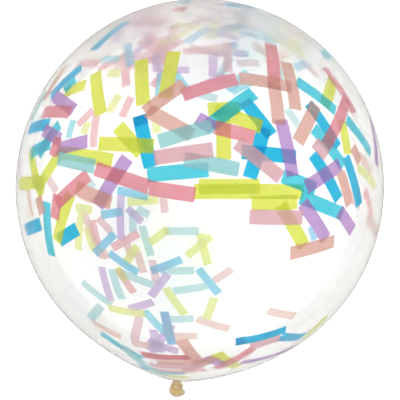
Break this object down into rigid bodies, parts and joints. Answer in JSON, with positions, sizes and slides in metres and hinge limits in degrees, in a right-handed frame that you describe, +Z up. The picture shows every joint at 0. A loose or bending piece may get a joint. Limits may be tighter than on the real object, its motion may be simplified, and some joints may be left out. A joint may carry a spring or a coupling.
{
  "type": "confetti balloon",
  "caption": "Large round clear party balloon, air filled and tied, with tissue paper confetti strips inside, lying on its side.",
  "frame": {"origin": "centre of the small flat patch that the balloon lies on, under its middle", "axes": "+Y along the balloon's axis from the knot to the crown, +Z up"},
  "size_m": [0.6, 0.6647, 0.5976],
  "materials": {
    "clear_latex": "clear, smooth and glossy",
    "tissue_paper": "matt, thin and dyed through, in eight colours"
  },
  "bodies": {
    "root": {"balloon": "clear_latex"}
  },
  "joints": []
}
